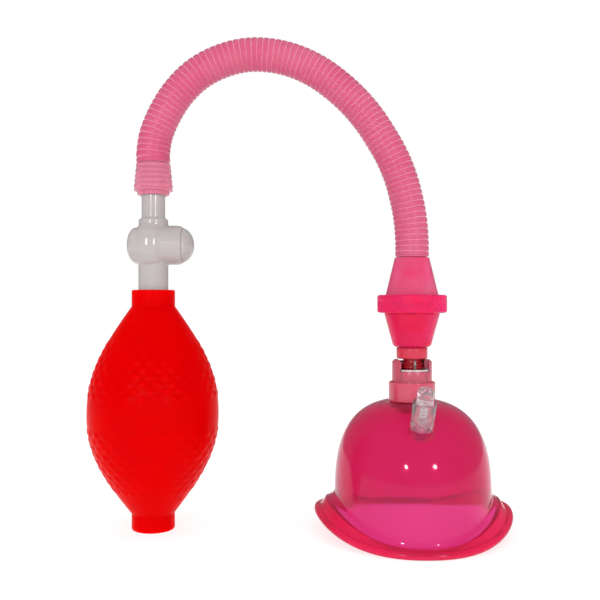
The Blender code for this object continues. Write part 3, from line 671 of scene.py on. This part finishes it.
def make_socket():
    at = (CUP_X, 0, 0)
    outline = [(9.25, 67.9), (9.25, 78.1), (8.25, 79.1), (5.9, 79.1), (5.9, 68.2), (3.0, 68.2), (3.0, 67.2)]
    outline += [(4.6, 67.2), (4.6, 63.6), (6.3, 63.6), (6.3, 67.9)]
    socket = lathe("socket_shell", outline, SOCKET_PINK, None, at, columns=96)
    x = CUP_X / MM
    left, right, front, back = x - 6.3, x + 7.3, -11.0, 8.3
    tools = [
        box_mesh("slot_tool", (left, front, 73.7), (right, back, 75.0)),
        box_mesh("window_tool", (left + 0.4, front, 74.8), (right - 0.2, -2.0, 82.0)),
        box_mesh("gap_tool", (left - 0.1, front, 78.2), (x - 3.0, 11.0, 82.0)),
        box_mesh("pad_tool", (x - 6.0, front, 69.3), (x + 6.0, -6.38, 73.9)),
    ]
    carve(socket, [(tool, "DIFFERENCE") for tool in tools], bevel=0.00012)
    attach(socket, "cup_assembly")
    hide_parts("socket_body")

    collar = [(10.8, 59.8), (10.8, 68.8), (9.33, 68.8), (9.33, 67.6), (6.6, 67.6), (6.6, 63.3), (2.2, 63.3)]
    collar += [(2.2, 53.9), (3.7, 53.9), (3.7, 59.8)]
    lathe("collar_turned", rounded(collar, 0.6, 4), COLLAR_PINK, "cup_assembly", at, node="neck_collar",
          slot="socket_plastic")

    low, high = 74.0, 74.7
    sheet = rounded([(0, low), (8.9, low), (8.9, high), (0, high)], 0.2, 3, closed=False)
    plate = lathe("latch_sheet", sheet, PLATE_STEEL, None, at)
    trim = box_mesh("plate_tool", (x - 5.9, -9.5, 72), (x + 6.9, 7.1, 75))
    hole = lathe("hole_tool", [(0, 72), (6.15, 72), (6.15, 75), (0, 75)], None, None, (CUP_X, -0.0003, 0))
    carve(plate, [(trim, "INTERSECT"), (hole, "DIFFERENCE")], bevel=0.00008)
    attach(plate, "latch")
    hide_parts("latch_plate")

    pad = lathe("latch_pad", [(0, 69.32), (9.24, 69.32), (9.24, 73.9), (0, 73.9)], SOCKET_PINK, None, at)
    trim = box_mesh("pad_trim_tool", (x - 5.98, -11, 69), (x + 5.98, -7.1, 74.5))
    carve(pad, [(trim, "INTERSECT")], bevel=0.00006)
    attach(pad, "latch")
    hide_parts("latch_button")

    pin_at = (CUP_X + 0.0003, -0.0077, 0)
    pin = [(0, 75.0), (0.35, 75.0), (0.35, 77.0), (0.7, 77.0), (0.7, 77.5), (0.5, 77.6), (0.5, 77.8), (0.7, 77.9)]
    pin += [(0.7, 78.6), (0.45, 79.0), (0, 79.0)]
    lathe("lock_pin_turned", rounded(pin, 0.08, 2, closed=False), PIN_STEEL, "lock", pin_at, columns=32,
          node="lock_pin", slot="latch_steel")
    coil_at = (CUP_X + 0.0003, -0.0077, 0.0751)
    coil("lock_coil", 0.7, 0.22, 1.8, 4, PIN_STEEL, "cup_assembly", coil_at, (0, 0, 1), "lock_spring",
         "spring_steel", steps=20)


# ---------------------------------------------------------------- cup
CUP_SIDE, CUP_DEPTH = 36.15, 41.5  # half the dome's width and depth
FLANGE_SIDE, FLANGE_DEPTH = 45.7, 50.0  # half the rim's
CUP_TOP, CUP_SHOULDER, CUP_WALL = 60.7, 17.0, 2.0
BOXINESS = 2.8  # 2 is an ellipse
SEAT_R, SEAT_Z, SEAT_BLEND = 11.1, 59.5, 4.5  # the flat seat of the neck collar


def dome_points(inset, steps, top_r):
    """The dome's side from its seat down, inset from the outside, as (half-width, half-depth, height)."""
    seat = SEAT_Z - inset
    points = [(top_r, top_r, seat), (SEAT_R, SEAT_R, seat)]
    for i in range(1, steps + 1):
        height = math.cos(math.pi / 2 * i / steps) ** (2 / BOXINESS)
        share = (1 - height**BOXINESS) ** (1 / BOXINESS) * (1 - 0.02 * height)
        z = CUP_SHOULDER + (CUP_TOP - inset - CUP_SHOULDER) * height
        near = (CUP_SIDE * share - SEAT_R) / SEAT_BLEND
        if near < 0.25:
            continue
        if near < 1:
            z = seat + (z - seat) * near * near * (3 - 2 * near)
        points.append(((CUP_SIDE - inset) * share, (CUP_DEPTH - inset) * share, z))
    return points


def cup_section(sideways):
    """The wall at one angle, 0 at the front and 1 at the side, and where the lip's material starts and ends."""
    foot = 3.3 + 13.2 * sideways**1.15
    lip_r = 1.7
    lip = lip_r + 8.0 * sideways**1.7
    reach_side, reach_depth = FLANGE_SIDE - lip_r - CUP_SIDE, FLANGE_DEPTH - lip_r - CUP_DEPTH

    def flange(share, drop):
        ridge = 0.55 * math.exp(-(((share - 0.52) / 0.09) ** 2))
        ridge -= 0.35 * math.exp(-(((share - 0.80) / 0.10) ** 2))
        z = foot + (lip + 0.6 - foot) * share**1.5 - drop + (ridge if drop < 1 else 0)
        return (CUP_SIDE + reach_side * share, CUP_DEPTH + reach_depth * share, z)

    def bead(degrees):
        a = math.radians(degrees)
        out, up = lip_r * math.cos(a), lip_r * math.sin(a)
        return (FLANGE_SIDE - lip_r + out, FLANGE_DEPTH - lip_r + out, lip + up)

    outside = dome_points(0, 40, 4.0)
    last = outside[-1][2]
    for k in range(1, 6):
        t = k / 6
        outside.append((CUP_SIDE + 0.25 * t**3, CUP_DEPTH + 0.25 * t**3, last + (foot + 1.0 - last) * t))
    outside.append((CUP_SIDE + 0.45, CUP_DEPTH + 0.45, foot + 0.55))
    shares = (0.12, 0.2, 0.3, 0.38, 0.44, 0.49, 0.54, 0.59, 0.65, 0.72, 0.78, 0.84, 0.9)
    outside += [flange(share, 0) for share in shares]
    lip_start = len(outside) - 8  # the outer flange is as red as the lip
    outside += [bead(a) for a in (112, 95, 75, 55, 35, 15, -5, -25, -50, -75, -100, -130)]
    inside = [flange(share, 1.6) for share in (0.8, 0.6, 0.4)]
    inside += [flange(0.2, 1.9), flange(0.05, 2.0)]
    inside.append((CUP_SIDE - 1.4, CUP_DEPTH - 1.4, foot - 1.5))
    inside.append((CUP_SIDE - CUP_WALL, CUP_DEPTH - CUP_WALL, foot - 0.4))
    inside += dome_points(CUP_WALL, 28, 4.0)[::-1]
    return outside + inside, (lip_start, len(outside) + 3)


def release_axis():
    """Where the clear release valve stands on the dome, and the way it leans."""
    y = -31.5
    share = -y / CUP_DEPTH
    height = (1 - share**BOXINESS) ** (1 / BOXINESS)
    z = CUP_SHOULDER + (CUP_TOP - CUP_SHOULDER) * height
    tilt, lean = math.radians(25), math.radians(2.5)
    along = (math.sin(lean), -math.sin(tilt) * math.cos(lean), math.cos(tilt) * math.cos(lean))
    return (CUP_X, y * MM, z * MM), along


def dome_solid(name, grow):
    """The dome as a solid tool, grown outwards."""
    columns = 120
    angles = np.linspace(0, TURN, columns, endpoint=False)
    rings = []
    for x, y, z in dome_points(-grow, 30, 0.4)[::-1]:
        rings.append(np.stack([x * np.cos(angles), y * np.sin(angles), np.full(columns, z)], 1))
    rows = len(rings)
    faces = grid_faces(rows, columns, loop_rows=False)
    faces.append(tuple(range(columns))[::-1])
    faces.append(tuple(range((rows - 1) * columns, rows * columns)))
    return add_mesh(name, np.concatenate(rings) * MM + np.array((CUP_X, 0, 0)), faces, None, None)


def make_cup():
    columns = 192
    angles = np.linspace(0, TURN, columns, endpoint=False)
    sections = [cup_section(math.cos(a) ** 2)[0] for a in angles]
    lip_start, lip_end = cup_section(0)[1]
    rows = len(sections[0])
    points = np.array(sections)
    xs = points[:, :, 0] * np.cos(angles)[:, None]
    ys = points[:, :, 1] * np.sin(angles)[:, None]
    grid = np.stack([xs, ys, points[:, :, 2]], 2).transpose(1, 0, 2)[::-1].reshape(-1, 3)
    grid = grid * MM + np.array((CUP_X, 0, 0))
    cup = add_mesh("cup_shell", grid, grid_faces(rows, columns), CUP_CLEAR, None, smooth=0)
    cup.data.materials.append(CUP_LIP)
    lip_rows = range(rows - 1 - lip_end, rows - 1 - lip_start)
    for face in cup.data.polygons:
        if face.index // columns in lip_rows:
            face.material_index = 1

    at, along = release_axis()
    boss = [(5.4, -7.0), (6.4, -7.0), (6.4, 0.35), (6.2, 0.6), (5.9, 0.7), (5.6, 0.6), (5.4, 0.35)]
    ring = lathe("boss_tool_cup", boss, CUP_CLEAR, None, at, along, columns=64)
    carve(ring, [(dome_solid("boss_trim_tool", -1.0), "DIFFERENCE")])
    drill = [(0, -10), (2.9, -10), (2.9, 6), (0, 6)]
    hole = lathe("release_hole_tool", drill, CUP_CLEAR, None, at, along, columns=40)
    carve(cup, [(ring, "UNION"), (hole, "DIFFERENCE")])
    cup.data.set_sharp_from_angle(angle=math.radians(50))
    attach(cup, "cup_assembly")
    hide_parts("cup")


def make_release_valve():
    at, along = release_axis()
    length = 13.0
    outline = [(0, -7.0), (3.4, -7.0), (4.3, -3.0), (4.85, -0.5), (5.05, 2.0), (5.05, length - 0.8)]
    outline += [(4.85, length - 0.25), (4.5, length), (0, length)]
    barrel = lathe("release_barrel", outline, VALVE_CLEAR, None, at, along, columns=72)
    tube = [(0, -4.8), (2.6, -4.8), (2.6, 2), (0, 2)]
    spigot = lathe("spigot_tool", tube, VALVE_CLEAR, None, at, along, columns=40)
    round_bore = [(0, -6), (1.5, -6), (1.5, 2.2), (2.6, 2.5), (3.4, 3.2), (3.85, 4.4), (3.95, 5.5), (3.95, 15)]
    round_bore.append((0, 15))
    bore = lathe("bore_tool", round_bore, VALVE_CLEAR, None, at, along, columns=56)
    tools = [(dome_solid("barrel_trim_tool", 0.3), "DIFFERENCE"), (spigot, "UNION"), (bore, "DIFFERENCE")]
    carve(barrel, tools, bevel=0.00012)
    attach(barrel, "cup_assembly")
    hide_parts("cup_valve_barrel")

    top = 18.8
    stem = [(0, 3.0), (0.8, 3.0), (0.8, 5.0), (1.6, 5.1), (1.6, 5.6), (0.8, 5.7), (0.8, 11.4), (2.4, 11.5)]
    stem += [(2.4, 12.6), (3.55, 12.6), (3.55, 13.9), (3.25, 14.1), (3.25, 14.5), (3.55, 14.7), (3.55, top - 1.2)]
    stem += [(3.4, top - 0.5), (2.9, top), (0, top)]
    plunger = lathe("release_plunger", stem, VALVE_CLEAR, None, at, along, columns=64)
    spin = Vector((0, 0, 1)).rotation_difference(Vector(along)).to_matrix().to_4x4()
    tools = []
    for name, half in (("cross_a_tool", (0.45, 5.0)), ("cross_b_tool", (5.0, 0.45))):
        slot = box_mesh(name, (-half[0], -half[1], top - 1.9), (half[0], half[1], top + 1.0))
        turn = Matrix.Rotation(math.radians(45), 4, "Z")
        slot.data.transform(Matrix.Translation(at) @ spin @ turn)
        tools.append((slot, "DIFFERENCE"))
    carve(plunger, tools, bevel=0.0001)
    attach(plunger, "cup_release")
    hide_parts("cup_valve_plunger")
    base = Vector(at) + 0.0057 * Vector(along)
    coil("release_coil", 1.6, 0.62, 5.6, 4.5, SPRING_STEEL, "cup_assembly", base, along, "cup_valve_spring",
         "spring_steel")


# ---------------------------------------------------------------- small CAD pieces that stay
CARRIED = {
    "tail_valve_body": VALVE_WHITE,
    "tail_valve_retainer": VALVE_WHITE,
    "tail_valve_disc": SEAL_PALE,
    "inlet_check_retainer": VALVE_WHITE,
    "inlet_check_disc": SEAL_PALE,
    "button_stem": VALVE_WHITE,
    "button_o_ring": SEAL_PALE,
    "button_spring": SPRING_STEEL,
    "coupling_gasket": SEAL_PALE,
    "check_seat": COUPLING_PINK,
    "check_ball": SEAL_PALE,
    "plug_o_ring": SEAL_DARK,
    "neck_nut": NUT_RED,
    "latch_spring": SPRING_STEEL,
    "shutoff_poppet": VALVE_WHITE,
    "shutoff_spring": SPRING_STEEL,
    "cup_valve_seal": SEAL_PALE,
}


def dress_carried():
    for node, look in CARRIED.items():
        mesh = NODES[node].data
        mesh.materials.clear()
        mesh.materials.append(look)


# ---------------------------------------------------------------- stage
FILL_LEVEL = 0.85  # the room's light on dull surfaces, as a share of the white backdrop
GLOSS_LEVEL = 0.28  # and in reflections


def add_math(nodes, links, operation, one, other):
    made = nodes.new("ShaderNodeMath")
    made.operation = operation
    for socket, value in zip(made.inputs, (one, other)):
        if isinstance(value, float):
            socket.default_value = value
        else:
            links.new(value, socket)
    return made


def make_stage():
    mesh = bpy.data.meshes.new("floor")
    half = 6.0
    mesh.from_pydata([(-half, -half, 0), (half, -half, 0), (half, half, 0), (-half, half, 0)], [], [(0, 1, 2, 3)])
    floor = bpy.data.objects.new("floor", mesh)
    bpy.context.scene.collection.objects.link(floor)
    made, _, _, shader = new_material("floor_pale")
    shader.inputs["Base Color"].default_value = (0.40, 0.40, 0.40, 1)
    shader.inputs["Roughness"].default_value = 0.9
    shader.inputs["Specular IOR Level"].default_value = 0.0
    shader.inputs["Emission Color"].default_value = (1, 1, 1, 1)
    shader.inputs["Emission Strength"].default_value = 0.72
    mesh.materials.append(made)
    floor.location = (0, 0, -0.00005)

    world = bpy.data.worlds.new("studio")
    bpy.context.scene.world = world
    world.use_nodes = True
    nodes, links = world.node_tree.nodes, world.node_tree.links
    rays = nodes.new("ShaderNodeLightPath")
    back = nodes["Background"]
    back.inputs["Color"].default_value = (1, 1, 1, 1)
    glossy, through = rays.outputs["Is Glossy Ray"], rays.outputs["Is Transmission Ray"]
    mirrored = add_math(nodes, links, "SUBTRACT", glossy, through)
    mirrored.use_clamp = True
    dim_gloss = add_math(nodes, links, "MULTIPLY", mirrored.outputs[0], 1.0 - GLOSS_LEVEL)
    dim_fill = add_math(nodes, links, "MULTIPLY", rays.outputs["Is Diffuse Ray"], 1.0 - FILL_LEVEL)
    partly = add_math(nodes, links, "SUBTRACT", 1.0, dim_gloss.outputs[0])
    level = add_math(nodes, links, "SUBTRACT", partly.outputs[0], dim_fill.outputs[0])
    links.new(level.outputs[0], back.inputs["Strength"])

    for name, at, size, power in (
        ("softbox_left", (-0.35, -1.0, 0.35), 0.085, 3.0),
        ("softbox_right", (0.54, -1.0, 0.35), 0.085, 3.0),
    ):
        lamp = bpy.data.lights.new(name, "AREA")
        lamp.shape = "DISK"
        lamp.size = size
        lamp.energy = power
        lamp.color = (1.0, 0.99, 0.98)
        light = bpy.data.objects.new(name, lamp)
        bpy.context.scene.collection.objects.link(light)
        light.location = at
        light.rotation_euler = (Vector((0, 0, 0.09)) - Vector(at)).to_track_quat("-Z", "Y").to_euler()

    camera = bpy.data.cameras.new("camera")
    camera.lens = 50
    camera.sensor_width = 36
    camera.clip_start = 0.01
    eye = bpy.data.objects.new("camera", camera)
    eye.location = CAMERA_AT
    eye.rotation_euler = (math.radians(90), 0, 0)
    bpy.context.scene.collection.objects.link(eye)
    bpy.context.scene.camera = eye
    bpy.context.scene.view_settings.view_transform = "Standard"


make_stage()
make_hose()
make_cuff()
make_bulb()
make_valve()
make_coupling()
make_plug()
make_socket()
make_cup()
make_release_valve()
dress_carried()
